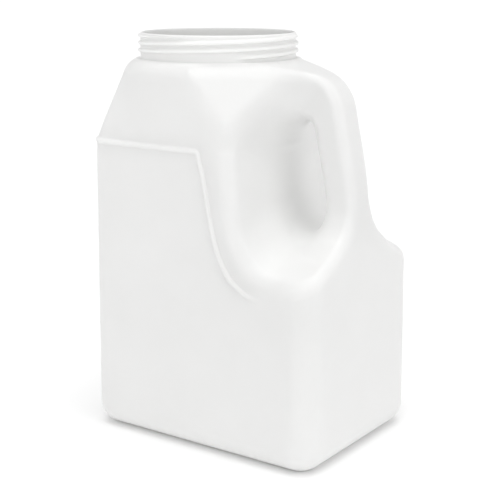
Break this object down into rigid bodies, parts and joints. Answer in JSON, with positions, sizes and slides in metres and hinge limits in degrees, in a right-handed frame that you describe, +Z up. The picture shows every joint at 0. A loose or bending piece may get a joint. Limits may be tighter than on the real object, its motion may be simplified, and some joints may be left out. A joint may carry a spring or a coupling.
{
  "type": "f-style jug",
  "caption": "Opaque rectangular F-style jug, blow-moulded in one piece with a moulded-in side handle and a wide open threaded mouth.",
  "frame": {"origin": "centre of the base, on the surface it stands on", "axes": "+Z up through the mouth, +X from the mouth end towards the handle, -Y and +Y out of the two label faces"},
  "size_m": [0.183, 0.1354, 0.2753],
  "materials": {
    "white_hdpe": "satin natural-white polyethylene, slightly uneven moulded surface"
  },
  "bodies": {
    "root": {"jug": "white_hdpe"}
  },
  "joints": []
}
